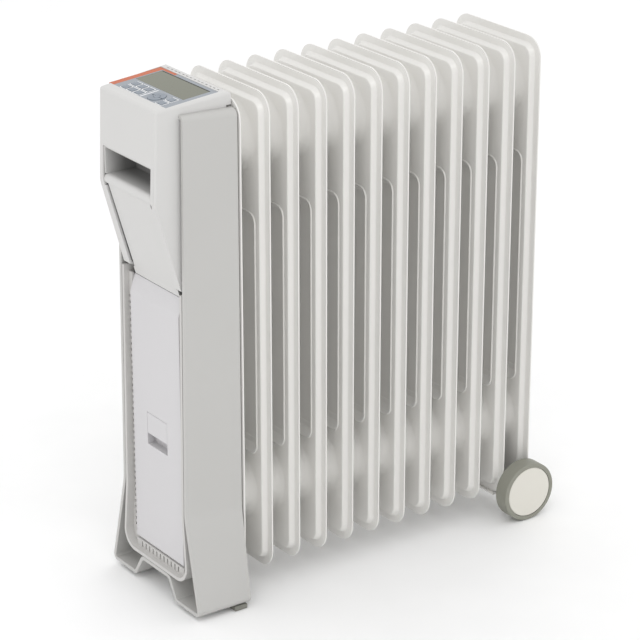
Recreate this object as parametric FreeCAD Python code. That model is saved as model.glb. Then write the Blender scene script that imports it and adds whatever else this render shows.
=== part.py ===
"""Oil filled radiator heater: pressed steel oil fins, a moulded control housing on feet, and two wheels."""

import FreeCAD, Part
import math
import os

V = FreeCAD.Vector

# how far a cutter runs past what it cuts, and a joined piece into its neighbour
past = 1.0
# far under any size of the object, to tell two places apart
tiny = 0.01

# ---------------------------------------------------------------- radiator
fin_count = 12
fin_pitch = 38.2
fin_width = 160.0
fin_height = 578.0
fin_ground_gap = 30.0
fin_top_radius = 26.0
fin_bottom_radius = 21.0
sheet = 0.8
flange_width = 9.0
shoulder_width = 4.0
channel_half_depth = 7.0
window_half_width = 60.0
window_bottom = 141.0
window_top = 436.0
window_corner = 12.0
window_side_slope = 5.0
window_foot_slope = 10.0
boss_half_width = 60.0
boss_half_height = 36.0
boss_flare = 5.0
boss_upper = 518.0
boss_lower = 91.0
oil_bore = 22.0

# ---------------------------------------------------------------- heating element
rod_radius = 4.2
rod_spacing = 18.0
flange_radius = 30.0
flange_plate = 4.0
terminal_radius = 2.0
terminal_length = 10.0

# ------------------------------------------------- housing, measured from the plane of the first fin
housing_rear = 2.5
band_front = 73.5
band_half_front = 68.0
band_half_rear = 78.3
band_wall = 4.5
band_lean = 7.0
band_top = 599.0
band_top_radius_front = 5.5
band_top_radius_rear = 9.0
flare_start = 122.0
flare_radius = 60.0
foot_half_width = 96.0
foot_inner = 44.0
foot_height = 6.0
foot_radius = 7.0
foot_inner_radius = 5.5
arch_half_width = 28.0
arch_height = 31.0
arch_radius = 5.0
fit_gap = 0.3

head_front_top = 94.0
head_front_low = 98.0
head_rear = 2.0
head_top_front = 607.0
head_top_rear = 615.7
head_low_front = 503.0
cheek_front = 67.5
cheek_low = 396.0
cheek_rear = 62.0
cheek_foot = 393.0
cheek_room = 8.0
head_half_front = 58.5
head_half_rear = 65.5
head_wall = 2.5
head_edge_radius = 3.5
plan_margin = 10.0
fin_crown_gap = 2.0

body_half_width = 62.8
body_half_low = 70.5
body_flare = 118.0
body_bottom = 36.2
body_top = 391.5
body_corner = 22.0
body_wall = 4.0
body_rear = 15.0
partition = 34.0
shield_thickness = 1.2
shield_inset = 2.0
shield_top_gap = 8.0
body_flare_radius = 40.0

# ---------------------------------------------------------------- front door of the cord compartment
door_front = 66.0
door_wall = 2.6
door_half_width = 51.0
door_top = 382.0
door_roll_start = 362.0
door_roll_back = 6.5
door_roll_radius = 14.0
hinge_bead = 4.0
pin_radius = 1.6
running_gap = 0.05
frame_gap = 0.5
frame_plate = 2.5
frame_margin = 5.0
lug_length = 4.0
lug_half = 3.0
sill_top = 50.0
sill_gap = 0.8
slot_count = 11
slot_pitch = 7.9
slot_width = 2.4
slot_low = 41.2
slot_high = 48.4
side_vent_count = 41
side_vent_pitch = 7.4
side_vent_low = 57.0
side_vent_size = 3.4
side_vent_edge = 0.4

latch_width = 42.0
latch_bottom = 196.0
latch_top = 222.0
latch_gap = 0.4
latch_pivot_depth = 2.4
latch_pin_radius = 0.9
latch_barrel = 2.4
latch_plate = 1.8
recess_height = 14.0
recess_depth = 12.0
recess_wall = 1.5

# ---------------------------------------------------------------- hand grip and sloped panel
grip_half_width = 50.0
grip_low = 509.0
grip_high = 542.0
grip_back = 54.0
grip_wall = 2.0
lip_radius = 6.5
slope_half_width = 44.0
slope_slot = 3.0
slope_wall = 2.6
slope_top_x = 94.0
slope_top_z = 496.0
slope_low_x = 60.7
slope_low_z = 383.6
slope_foot = 9.0
slope_lip_sink = 1.2
pocket_front = 1.0

# ------------------------------------------------- control panel, in the plane of the sloping top
panel_front = 14.0
panel_rear = 82.0
panel_left = 61.0
panel_right = -57.0
panel_sink = 0.4
panel_plate = 2.2
strip_width = 9.5
strip_tail = 26.0
strip_foot = 4.0
lcd_front = 41.5
lcd_rear = 77.0
lcd_half_width = 49.0
lens_plate = 1.0
lcd_depth = 5.0
key_rise = 0.7
key_depth = 2.6
key_gap = 0.3
key_length = 8.4
key_width = 10.0
key_row_1 = 20.5
key_row_2 = 33.0
key_columns = (33.5, 20.5, 7.5)
key_side_column = -39.5
centre_key_radius = 3.9
rocker_centre_u = 26.8
rocker_centre_v = -19.0
rocker_outer = 10.5
rocker_inner = 4.2
rocker_split = 1.2
mat_plate = 1.2
mat_drop = 1.2
board_plate = 1.6
board_drop = 2.0
board_margin = 3.0
mat_margin = 14.0
top_slot_count = 14
top_slot_pitch = 7.8
top_slot_length = 4.6
top_slot_width = 1.5
top_slot_row_1 = 85.5
top_slot_row_2 = 90.5

# ---------------------------------------------------------------- wheels and feet
wheel_radius = 37.5
wheel_width = 20.0
wheel_inner_face = 81.5
wheel_x = 406.5
tyre_wall = 5.3
cap_radius = 31.9
cap_depth = 3.0
cap_reveal = 0.3
cap_round = 1.2
cap_face = 1.4
tyre_round = 1.5
end_play = 0.1
axle_tail = 0.4
rim_web = 3.0
hub_radius = 9.0
hub_face = 81.0
spacer_radius = 6.0
axle_radius = 4.0
clip_groove = 0.8
clip_thickness = 1.0
clip_radius = 7.0
bracket_sheet = 2.5
bracket_half_width = 66.0
bracket_reach = 24.0
ear_half_length = 6.0
ear_above_axle = 8.0
pad_length = 17.0
pad_width = 20.0
pad_rear = 7.0
pad_centre_y = 84.0
pad_round = 1.5

# ---------------------------------------------------------------- small hardware
stud_radius = 3.0
nut_radius = 5.0
nut_height = 2.4
stud_half_span = 40.0
stud_low = 158.0
stud_high = 590.0
screw_radius = 1.5
screw_head = 3.0
screw_head_height = 1.6
screw_length = 9.0
screw_edge = 3.5
screw_low = 30.0
screw_top = 12.0
screw_post = 2.5
gland_radius = 9.0
gland_bore = 4.2
gland_length = 12.0
gland_flange = 2.0
gland_y = -34.0
gland_z = 78.0
board_standoff = 2.0
power_board_half = 45.0
power_board_low = 240.0
power_board_high = 360.0
relay_height = 5.4
relay_width = 18.0
relay_length = 20.0
relay_y = -38.0
relay_z = 300.0
switch_depth = 9.0
switch_width = 24.0
switch_height = 25.0
switch_y = 20.0
switch_z = 180.0
cutout_clearance = 0.6
cutout_depth = 3.4
cutout_radius = 8.0
cutout_z = 210.0
plug_radius = 11.0
plug_height = 4.0

# ---------------------------------------------------------------- worked out from the sizes above
fin_bottom = fin_ground_gap
half_pitch = fin_pitch / 2
last_fin = (fin_count - 1) * fin_pitch
front_x = -head_front_low
rear_x = max(wheel_x + wheel_radius, last_fin + channel_half_depth + plug_height)
fin_1 = -(front_x + rear_x) / 2
boss_upper_z = fin_bottom + boss_upper
boss_lower_z = fin_bottom + boss_lower
hinge_x = door_front - hinge_bead
hinge_z = sill_top + sill_gap + hinge_bead
frame_x = hinge_x - frame_gap - door_wall + hinge_bead
shield_half = body_half_width - shield_inset
rear_trim = channel_half_depth + 1.0
fin_shoulder_z = fin_bottom + fin_height - flange_width
slope_angle = math.atan2(head_top_rear - head_top_front, head_front_top - head_rear)


def save(shape, name):
    """Writes one node, checked to be closed and valid."""
    if not shape.isValid():
        raise ValueError(name + " is not a valid shape")
    shape.exportStep("parts/" + name + ".step")


def block(x1, x2, y1, y2, z1, z2):
    """Box between two corners, X counted from the plane of the first fin."""
    return Part.makeBox(x2 - x1, y2 - y1, z2 - z1, V(fin_1 + x1, y1, z1))


def rod_x(x1, x2, y, z, r):
    return Part.makeCylinder(r, x2 - x1, V(fin_1 + x1, y, z), V(1, 0, 0))


def rod_y(x, z, y1, y2, r):
    return Part.makeCylinder(r, y2 - y1, V(fin_1 + x, y1, z), V(0, 1, 0))


def rounded_wire(corners):
    """Closed wire through (point, radius) corners, with a tangent arc at each corner that has a radius."""
    count = len(corners)
    starts = []
    ends = []
    middles = []
    for i in range(count):
        before = corners[i - 1][0]
        here, radius = corners[i]
        after = corners[(i + 1) % count][0]
        to_before = (before - here).normalize()
        to_after = (after - here).normalize()
        half = to_before.getAngle(to_after) / 2
        if radius == 0:
            starts.append(here)
            ends.append(here)
            middles.append(None)
            continue
        reach = radius / math.tan(half)
        bisector = (to_before + to_after).normalize()
        centre = here + bisector * (radius / math.sin(half))
        starts.append(here + to_before * reach)
        ends.append(here + to_after * reach)
        middles.append(centre - bisector * radius)
    edges = []
    for i in range(count):
        if middles[i] is not None:
            edges.append(Part.Arc(starts[i], middles[i], ends[i]).toShape())
        edges.append(Part.makeLine(ends[i], starts[(i + 1) % count]))
    return Part.Wire(edges)


def upright_rect(x, half_width, z1, z2, r_low, r_high):
    """Rounded rectangle in a plane across X."""
    return rounded_wire([
        (V(fin_1 + x, -half_width, z1), r_low),
        (V(fin_1 + x, half_width, z1), r_low),
        (V(fin_1 + x, half_width, z2), r_high),
        (V(fin_1 + x, -half_width, z2), r_high),
    ])


def loft(first, second):
    return Part.makeLoft([first, second], True, True)


def prism_y(points, y1, y2, radii=None):
    """Side outline in (x, z), swept across the width from y1 to y2."""
    radii = radii or [0] * len(points)
    corners = [(V(fin_1 + x, y1, z), r) for (x, z), r in zip(points, radii)]
    return Part.Face(rounded_wire(corners)).extrude(V(0, y2 - y1, 0))


# ================================================================ fins

def channel_block(side, shrink):
    """One pressed half of a fin, from the middle plane out to the flat of its oil channel."""
    base_half = fin_width / 2 - flange_width - shrink
    flat_half = base_half - shoulder_width
    base_low = fin_bottom + flange_width + shrink
    base_high = fin_bottom + fin_height - flange_width - shrink
    flat_low = base_low + shoulder_width
    flat_high = base_high - shoulder_width
    base = upright_rect(0, base_half, base_low, base_high, fin_bottom_radius - 5, fin_top_radius - 5)
    flat = upright_rect(side * (channel_half_depth - shrink), flat_half, flat_low, flat_high,
                        fin_bottom_radius - 7, fin_top_radius - 7)
    return loft(base, flat)


def window_block(side, floor_x, grow):
    """The sunk window of one pressed half, from its floor out past the channel's flat."""
    depth = channel_half_depth - sheet
    low = fin_bottom + window_bottom - grow
    high = fin_bottom + window_top + grow
    half = window_half_width + grow
    floor = upright_rect(side * floor_x, half - window_side_slope, low + window_foot_slope,
                         high - window_side_slope, window_corner - 4, window_corner - 4)
    mouth_x = sheet + depth
    mouth = upright_rect(side * mouth_x, half, low, high, window_corner, window_corner)
    return loft(floor, mouth)


def boss_block(side, centre_z, shrink):
    """Oval boss from the channel's flat to the middle of the gap, where it meets the next fin."""
    wide = boss_half_width + boss_flare - shrink
    tall = boss_half_height + boss_flare - shrink
    start = channel_half_depth - 1.0 - shrink
    root = upright_rect(side * start, wide, centre_z - tall, centre_z + tall, tall - 1, tall - 1)
    tip_wide = boss_half_width - shrink
    tip_tall = boss_half_height - shrink
    tip = upright_rect(side * (half_pitch - shrink), tip_wide, centre_z - tip_tall, centre_z + tip_tall,
                       tip_tall - past, tip_tall - past)
    return loft(root, tip)


def make_fin(front_boss, rear_boss):
    """Hollow oil fin: rim, two pressed channels, the window and its bosses."""
    rim = Part.Face(upright_rect(-sheet, fin_width / 2, fin_bottom, fin_bottom + fin_height,
                                 fin_bottom_radius, fin_top_radius)).extrude(V(2 * sheet, 0, 0))
    outside = rim
    inside = None
    windows = None
    for side in (-1, 1):
        outside = outside.fuse(channel_block(side, 0))
        hollow = channel_block(side, sheet).cut(window_block(side, 0, sheet))
        inside = hollow if inside is None else inside.fuse(hollow)
        window = window_block(side, sheet, 0)
        windows = window if windows is None else windows.fuse(window)
    outside = outside.cut(windows)
    for side, wanted in ((-1, front_boss), (1, rear_boss)):
        for centre_z in (boss_upper_z, boss_lower_z):
            if not wanted:
                continue
            outside = outside.fuse(boss_block(side, centre_z, 0))
            inside = inside.fuse(boss_block(side, centre_z, sheet))
            passage = rod_x(min(0, side * half_pitch), max(0, side * half_pitch), 0, centre_z, oil_bore)
            inside = inside.fuse(passage)
    if not front_boss:
        inside = inside.fuse(rod_x(-channel_half_depth, 0, 0, boss_lower_z, oil_bore))
    return outside.cut(inside).removeSplitter()


def make_fins():
    kinds = {
        "first": make_fin(False, True),
        "middle": make_fin(True, True),
        "last": make_fin(True, False),
    }
    for i in range(fin_count):
        kind = "first" if i == 0 else "last" if i == fin_count - 1 else "middle"
        fin = kinds[kind].copy()
        fin.translate(V(i * fin_pitch, 0, 0))
        save(fin, "fin_%02d" % (i + 1))


def make_filler_plug():
    """Pressed plug that closes the oil filling hole, on the flat behind the last fin's upper boss."""
    foot = last_fin + channel_half_depth
    plug = rod_x(foot, foot + plug_height, 0, boss_upper_z, plug_radius)
    rim = [e for e in plug.Edges if abs(e.CenterOfMass.x - (fin_1 + foot + plug_height)) < 0.01]
    save(plug.makeFillet(1.2, rim), "filler_plug")


# ================================================================ heating element

def make_element():
    """Hairpin heating rod along the lower bosses with its terminals, and its flange and seal."""
    rod_start = -channel_half_depth
    rod_end = last_fin - half_pitch
    half = rod_spacing / 2
    hairpin = rod_x(rod_start, rod_end, half, boss_lower_z, rod_radius)
    hairpin = hairpin.fuse(rod_x(rod_start, rod_end, -half, boss_lower_z, rod_radius))
    bend = Part.makeTorus(half, rod_radius, V(fin_1 + rod_end, 0, boss_lower_z), V(0, 0, 1), -180, 180, 180)
    bend.rotate(V(fin_1 + rod_end, 0, boss_lower_z), V(0, 0, 1), -90)
    hairpin = hairpin.fuse(bend).removeSplitter()

    face = -channel_half_depth - 1.0
    seal = rod_x(face, -channel_half_depth, 0, boss_lower_z, flange_radius)
    seal = seal.cut(rod_x(face, -channel_half_depth, 0, boss_lower_z, oil_bore))
    save(seal, "element_seal")

    plate = rod_x(face - flange_plate, face, 0, boss_lower_z, flange_radius)
    spigot = rod_x(face, -channel_half_depth, 0, boss_lower_z, oil_bore - fit_gap)
    save(plate.fuse(spigot).removeSplitter(), "element_flange")

    out = face - flange_plate
    pins = [rod_x(out - terminal_length, out, y, boss_lower_z, terminal_radius) for y in (-half, half)]
    save(Part.makeCompound([hairpin] + pins), "heating_element")


# ================================================================ outer band with its feet

def head_half(x):
    """Half width of the head at a distance in front of the first fin."""
    share = (head_front_top - x) / (head_front_top - head_rear)
    return head_half_front + (head_half_rear - head_half_front) * share


def offset_line(a, b, d):
    """Line a-b moved sideways by d to its left, as a point and a direction."""
    run = math.hypot(b[0] - a[0], b[1] - a[1])
    dy = (b[0] - a[0]) / run
    dz = (b[1] - a[1]) / run
    return (a[0] - dz * d, a[1] + dy * d), (dy, dz)


def meet(line_1, line_2):
    (p, u), (q, w) = line_1, line_2
    cross = u[0] * w[1] - u[1] * w[0]
    t = ((q[0] - p[0]) * w[1] - (q[1] - p[1]) * w[0]) / cross
    return p[0] + t * u[0], p[1] + t * u[1]


def band_section(x, half, top_radius):
    """Closed outline of the ribbon across the heater: one side, its foot, the arch and the other side."""
    head_side = head_half(-x) + fit_gap
    right = [
        (head_side, band_top),
        (half, band_top),
        (half, flare_start),
        (foot_half_width, foot_height),
        (foot_inner, foot_height),
        (arch_half_width, arch_height),
    ]
    radii = [0, top_radius, flare_radius, foot_radius, foot_inner_radius, arch_radius]
    outer = right + [(-y, z) for y, z in reversed(right)]
    outer_radii = radii + list(reversed(radii))
    lines = [offset_line(outer[i], outer[i + 1], -band_wall) for i in range(len(outer) - 1)]
    inner = [(head_side, band_top - band_wall)]
    inner += [meet(lines[i], lines[i + 1]) for i in range(len(lines) - 1)]
    inner.append((-head_side, band_top - band_wall))
    inner_half_radii = [0, top_radius - band_wall, flare_radius + band_wall, foot_radius - band_wall,
                        foot_inner_radius - band_wall, arch_radius + band_wall]
    inner_radii = inner_half_radii + list(reversed(inner_half_radii))
    corners = [(V(fin_1 + x, y, z), r) for (y, z), r in zip(outer, outer_radii)]
    corners += [(V(fin_1 + x, y, z), r) for (y, z), r in reversed(list(zip(inner, inner_radii)))]
    return rounded_wire(corners)


def front_trim():
    """Wedge that leans the front rim of the housing back towards its top."""
    side_view = [(-band_front - past, 0), (-band_front, 0), (-band_front + band_lean, band_top + past),
                 (-band_front - past, band_top + past)]
    return prism_y(side_view, -foot_half_width - past, foot_half_width + past)


def make_band():
    front = band_section(-band_front, band_half_front, band_top_radius_front)
    rear = band_section(-housing_rear, band_half_rear, band_top_radius_rear)
    save(loft(front, rear).cut(front_trim()), "outer_band")


def make_foot_pads():
    pads = []
    for side in (-1, 1):
        y = side * pad_centre_y
        pad = block(-pad_rear - pad_length, -pad_rear, y - pad_width / 2, y + pad_width / 2, 0, foot_height)
        low = [e for e in pad.Edges if e.BoundBox.ZMax < tiny]
        pads.append(pad.makeFillet(pad_round, low))
    save(Part.makeCompound(pads), "foot_pads")


# ================================================================ head

def head_solid(inset):
    """The head and its cheeks, drawn in by inset on every side but the rear."""
    front_top = -head_front_top + inset
    front_low = -head_front_low + inset
    rear = -head_rear - inset
    points = [
        (front_top, head_top_front - inset),
        (rear, head_top_rear - inset),
        (rear, cheek_foot + inset),
        (-cheek_rear, cheek_foot + inset),
        (-cheek_front + inset, cheek_low + inset),
        (front_low, head_low_front + inset * 0.4),
    ]
    side_view = prism_y(points, -band_half_rear, band_half_rear)
    before = head_front_low + plan_margin
    behind = head_rear - plan_margin
    half_before = head_half(before) - inset
    half_behind = head_half(behind) - inset
    plan = [
        V(fin_1 - before, -half_before, 0),
        V(fin_1 - behind, -half_behind, 0),
        V(fin_1 - behind, half_behind, 0),
        V(fin_1 - before, half_before, 0),
    ]
    wedge = Part.Face(Part.makePolygon(plan + plan[:1])).extrude(V(0, 0, head_top_rear + plan_margin))
    return side_view.common(wedge)


def panel_place(shape):
    """Moves a shape from the panel's own axes (u back, v left, w up) onto the sloping top."""
    placed = shape.copy()
    placed.rotate(V(0, 0, 0), V(0, 1, 0), -math.degrees(slope_angle))
    placed.translate(V(fin_1 - head_front_top, 0, head_top_front))
    return placed


def panel_box(u1, u2, v1, v2, w1, w2):
    return Part.makeBox(u2 - u1, v2 - v1, w2 - w1, V(u1, v1, w1))


def make_head():
    """Moulded head: top, front and sides, with openings for the panel, the grip and the sloped panel."""
    outer = head_solid(0)
    top_edges = []
    for edge in outer.Edges:
        middle = edge.CenterOfMass
        on_top = middle.z > head_top_front - 1
        on_front_corner = middle.x < fin_1 - head_front_top + 1 and edge.BoundBox.ZLength > 60
        if on_top or on_front_corner:
            top_edges.append(edge)
    outer = outer.makeFillet(head_edge_radius, top_edges)
    hollow = head_solid(head_wall)
    shell = outer.cut(hollow)
    shell = shell.cut(block(-rear_trim, past, -band_half_rear, band_half_rear, cheek_foot - past,
                            fin_shoulder_z + fin_crown_gap))
    slot_half = slope_half_width + slope_slot
    shell = shell.cut(block(-head_front_low - 5, -cheek_rear + 4, -slot_half, slot_half,
                            cheek_foot - 5, slope_top_z))
    shell = shell.cut(block(-head_front_low - 5, -grip_back, -grip_half_width, grip_half_width,
                            grip_low - 2 * lip_radius - past, grip_high))
    shield_room = block(-body_rear - fit_gap, shield_thickness - body_rear + fit_gap, -shield_half - fit_gap,
                        shield_half + fit_gap, cheek_foot - past, cheek_foot + head_wall + past)
    shell = shell.cut(shield_room)
    opening = panel_box(panel_front, panel_rear, panel_right, panel_left, -head_wall - 3, 5)
    shell = shell.cut(panel_place(opening))
    slots = []
    for row in (top_slot_row_1, top_slot_row_2):
        for i in range(top_slot_count):
            v = (i - (top_slot_count - 1) / 2) * top_slot_pitch
            slots.append(panel_box(row - top_slot_width / 2, row + top_slot_width / 2,
                                   v - top_slot_length / 2, v + top_slot_length / 2, -head_wall - 3, 5))
    shell = shell.cut(panel_place(Part.makeCompound(slots)))
    save(shell.removeSplitter(), "head_shell")


def make_slope_panel():
    """Sloped front panel in one piece with the rolled lip and the pocket behind the grip opening."""
    lean = (slope_top_x - slope_low_x) / (slope_top_z - slope_low_z)

    def strip(z1, z2, half):
        x1 = -slope_low_x - (z1 - slope_low_z) * lean
        x2 = -slope_low_x - (z2 - slope_low_z) * lean
        return prism_y([(x1, z1), (x2, z2), (x2 + slope_wall, z2), (x1 + slope_wall, z1)], -half, half)

    lip_half = grip_half_width - fit_gap
    lip_x = -head_front_low + slope_lip_sink + lip_radius
    lip_z = grip_low - lip_radius
    plate = strip(slope_low_z, lip_z, slope_half_width)
    foot = strip(slope_low_z, slope_low_z + slope_foot, slope_half_width + slope_slot - fit_gap)
    lip = rod_y(lip_x, lip_z, -lip_half, lip_half, lip_radius - fit_gap)
    floor_z = lip_z + lip_radius - fit_gap
    pocket_top = grip_high - fit_gap
    pocket = block(-head_front_top - pocket_front, -grip_back, -lip_half, lip_half, floor_z, pocket_top)
    pocket = pocket.cut(block(-head_front_low, -grip_back - grip_wall, -lip_half + grip_wall,
                              lip_half - grip_wall, floor_z - past, pocket_top - grip_wall))
    floor = block(lip_x, -grip_back, -lip_half, lip_half, floor_z - grip_wall, floor_z)
    save(plate.fuse(foot).fuse(lip).fuse(floor).fuse(pocket).removeSplitter(), "slope_panel")


# ================================================================ control panel

def key_shapes():
    """Every key as (node name, outline box or ring part), at rest in the panel's own axes."""
    rise = key_rise - panel_sink
    shapes = []
    number = 0
    for u in (key_row_1, key_row_2):
        for v in key_columns:
            number += 1
            shapes.append(("key_%d" % number, panel_box(u - key_length / 2, u + key_length / 2,
                                                        v - key_width / 2, v + key_width / 2,
                                                        rise - key_depth, rise)))
    for name, u in (("key_set", key_row_1), ("key_mode", key_row_2)):
        v = key_side_column
        shapes.append((name, panel_box(u - key_length / 2, u + key_length / 2, v - key_width / 2,
                                       v + key_width / 2, rise - key_depth, rise)))
    ring = Part.makeCylinder(rocker_outer, key_depth, V(rocker_centre_u, rocker_centre_v, rise - key_depth))
    core = Part.makeCylinder(rocker_inner, key_depth, V(rocker_centre_u, rocker_centre_v, rise - key_depth))
    ring = ring.cut(core)
    reach = rocker_outer + 1
    for name, side in (("key_down", -1), ("key_up", 1)):
        near = rocker_centre_u + side * rocker_split / 2
        far = rocker_centre_u + side * reach
        half = panel_box(min(near, far), max(near, far), rocker_centre_v - reach, rocker_centre_v + reach,
                         rise - key_depth - past, rise + past)
        shapes.append((name, ring.common(half)))
    shapes.append(("key_centre", Part.makeCylinder(centre_key_radius, key_depth,
                                                   V(rocker_centre_u, rocker_centre_v, rise - key_depth))))
    return shapes


def key_holes():
    """Clearance holes through the panel plate for the keys."""
    holes = []
    for u in (key_row_1, key_row_2):
        for v in list(key_columns) + [key_side_column]:
            reach_u = key_length / 2 + key_gap
            reach_v = key_width / 2 + key_gap
            holes.append(panel_box(u - reach_u, u + reach_u, v - reach_v, v + reach_v, -panel_plate - 2, 2))
    ring = Part.makeCylinder(rocker_outer + key_gap, panel_plate + 4,
                             V(rocker_centre_u, rocker_centre_v, -panel_plate - 2))
    holes.append(ring)
    return holes


def make_control_panel():
    top = -panel_sink
    bottom = top - panel_plate
    plate = panel_box(panel_front + fit_gap, panel_rear - fit_gap, panel_right + fit_gap,
                      panel_left - fit_gap, bottom, top)
    window = panel_box(lcd_front, lcd_rear, -lcd_half_width, lcd_half_width, bottom - past, top + past)
    strip = strip_solid(0, 0.8)
    bezel = plate.cut(window).cut(strip)
    for hole in key_holes():
        bezel = bezel.cut(hole)
    save(panel_place(bezel.removeSplitter()), "panel_bezel")
    save(panel_place(strip_solid(0.05, 0.8)), "accent_strip")
    lens = panel_box(lcd_front + 0.1, lcd_rear - 0.1, -lcd_half_width + 0.1, lcd_half_width - 0.1,
                     top - lens_plate, top - 0.1)
    save(panel_place(lens), "lcd_lens")
    display = panel_box(lcd_front + 0.5, lcd_rear - 0.5, -lcd_half_width + 0.5, lcd_half_width - 0.5,
                        top - lens_plate - lcd_depth, top - lens_plate)
    save(panel_place(display), "lcd_module")
    for name, shape in key_shapes():
        save(panel_place(shape), name)
    mat_top = key_rise - panel_sink - key_depth - mat_drop
    mat = panel_box(panel_front + past, lcd_front - past, panel_right + board_margin, panel_left - mat_margin,
                    mat_top - mat_plate, mat_top)
    save(panel_place(mat), "key_mat")
    board_top = mat_top - mat_plate - board_drop
    board_left = panel_left - 2 * board_margin
    board = panel_box(panel_front + past, panel_rear - past, panel_right + board_margin, board_left,
                      board_top - board_plate, board_top)
    save(panel_place(board), "control_board")


def strip_solid(shrink, depth):
    """Coloured L-shaped strip inlaid along the panel's left side and part of its rear."""
    top = -panel_sink
    left = panel_left - fit_gap - shrink
    right = left - strip_width + 2 * shrink
    front = panel_front + fit_gap + shrink
    rear = panel_rear - fit_gap - shrink
    long_leg = panel_box(front, rear, right, left, top - depth, top)
    rear_leg = panel_box(rear - strip_foot + 2 * shrink, rear, right - strip_tail, left, top - depth, top)
    return long_leg.fuse(rear_leg).removeSplitter()


# ================================================================ body, door and latch

def body_outline(x, shrink, z_top, corner):
    """Outline of the body across X: upright sides that splay out below, and round bottom corners."""
    top_half = body_half_width - shrink
    low_half = body_half_low - shrink
    low = body_bottom + shrink
    right = [(top_half, z_top, 0), (top_half, body_flare, body_flare_radius), (low_half, low, corner)]
    corners = right + [(-y, z, r) for y, z, r in reversed(right)]
    return rounded_wire([(V(fin_1 + x, y, z), r) for y, z, r in corners])


def body_slab(x1, x2, shrink, z_top, corner):
    return Part.Face(body_outline(x1, shrink, z_top, corner)).extrude(V(x2 - x1, 0, 0))


def make_body():
    """Inner box of the housing: its frame surrounds the door, a partition backs the cord compartment."""
    inner_corner = body_corner - body_wall
    outer = body_slab(-band_front, -body_rear, 0, body_top, body_corner)
    recess = body_slab(-band_front - 1, -frame_x, body_wall, body_top + 1, inner_corner)
    room = body_slab(-frame_x + frame_plate, -partition, body_wall, body_top - body_wall, inner_corner)
    rear_room = body_slab(-partition + body_wall, 0, body_wall, body_top - body_wall, inner_corner)
    body = outer.cut(recess).cut(room).cut(rear_room)
    inner_half = body_half_width - body_wall
    body = body.cut(block(-frame_x - past, -cheek_rear + cheek_room, -inner_half, inner_half, door_top + past,
                          body_top + past))
    opening_half = door_half_width - frame_margin
    body = body.cut(block(-frame_x - past, -frame_x + frame_plate + past, -opening_half, opening_half,
                          sill_top, door_top + 2))
    roll_half = door_half_width + frame_gap
    body = body.cut(block(-frame_x - past, -frame_x + frame_plate + past, -roll_half, roll_half,
                          door_roll_start - body_wall, door_top + 2))
    sill = block(-door_front, -frame_x + past, -door_half_width, door_half_width,
                 body_bottom + body_wall - 1, sill_top)
    body = body.fuse(sill)
    for side in (-1, 1):
        near = side * (roll_half - 1)
        far = side * (roll_half + lug_length)
        lug = block(-hinge_x - lug_half, -frame_x + past, min(near, far), max(near, far),
                    hinge_z - lug_half, hinge_z + lug_half)
        body = body.fuse(lug)
    body = body.cut(rod_y(-hinge_x, hinge_z, -roll_half, roll_half, hinge_bead + frame_gap))
    body = body.cut(block(-hinge_x, -frame_x + frame_plate + past, -roll_half, roll_half,
                          sill_top, hinge_z + hinge_bead + frame_gap))
    body = body.cut(rod_y(-hinge_x, hinge_z, -roll_half - lug_length, roll_half + lug_length, pin_radius))
    body = body.cut(Part.makeCompound(sill_slots()))
    body = body.cut(Part.makeCompound(side_vents()))
    body = body.cut(rod_x(-partition - past, -partition + body_wall + past, gland_y, gland_z,
                          gland_radius - gland_flange))
    for y, z in screw_places():
        hole = rod_x(-body_rear - screw_length, -body_rear, y, z, screw_radius)
        post = rod_x(-partition + body_wall - 0.5, -body_rear, y, z, screw_radius + screw_post)
        body = body.fuse(post).cut(hole)
    save(body.cut(front_trim()), "body_shell")


def sill_slots():
    """Row of upright slots through the sill under the door."""
    slots = []
    for i in range(slot_count):
        y = (i - (slot_count - 1) / 2) * slot_pitch
        slots.append(block(-door_front - past, -frame_x + frame_plate + past,
                           y - slot_width / 2, y + slot_width / 2, slot_low, slot_high))
    return slots


def side_vents():
    """Columns of small square vents between the door's edges and the walls of its recess."""
    half = side_vent_size / 2
    y = body_half_width - body_wall - side_vent_edge - half
    vents = []
    for side in (-1, 1):
        for i in range(side_vent_count):
            z = side_vent_low + i * side_vent_pitch
            if abs(z - hinge_z) < 4 + side_vent_size:
                continue
            vents.append(block(-frame_x - past, -frame_x + frame_plate + past, side * y - half, side * y + half,
                               z - half, z + half))
    return vents


def screw_places():
    y = body_half_width - body_wall - screw_radius - screw_edge
    middle = (body_bottom + body_top) / 2
    heights = (body_bottom + screw_low, middle, body_top - screw_top)
    return [(side * y, z) for z in heights for side in (-1, 1)]


def make_shield():
    """Sheet steel shield between the housing and the first fin, with its screws."""
    front = -body_rear
    rear = front + shield_thickness
    shield = Part.Face(upright_rect(front, shield_half, body_bottom + shield_inset, band_top - shield_top_gap,
                                     body_corner, body_wall))
    shield = shield.extrude(V(shield_thickness, 0, 0))
    shield = shield.cut(rod_x(front - past, rear + past, 0, boss_lower_z, flange_radius + 2))
    screws = []
    for y, z in screw_places():
        shield = shield.cut(rod_x(front - past, rear + past, y, z, screw_radius))
        shank = rod_x(-body_rear - screw_length + past, rear, y, z, screw_radius)
        head = rod_x(rear, rear + screw_head_height, y, z, screw_head)
        screws.append(shank.fuse(head).removeSplitter())
    studs = []
    nuts = []
    for z in (stud_low, stud_high):
        for y in (-stud_half_span, stud_half_span):
            shield = shield.cut(rod_x(front - past, rear + past, y, z, stud_radius))
            studs.append(rod_x(front - nut_height - past, -channel_half_depth, y, z, stud_radius))
            nut = rod_x(front - nut_height, front, y, z, nut_radius)
            nuts.append(nut.cut(rod_x(front - nut_height, front, y, z, stud_radius)))
    save(shield, "heat_shield")
    save(Part.makeCompound(screws), "housing_screws")
    save(Part.makeCompound(studs), "mounting_studs")
    save(Part.makeCompound(nuts), "mounting_nuts")


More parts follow.
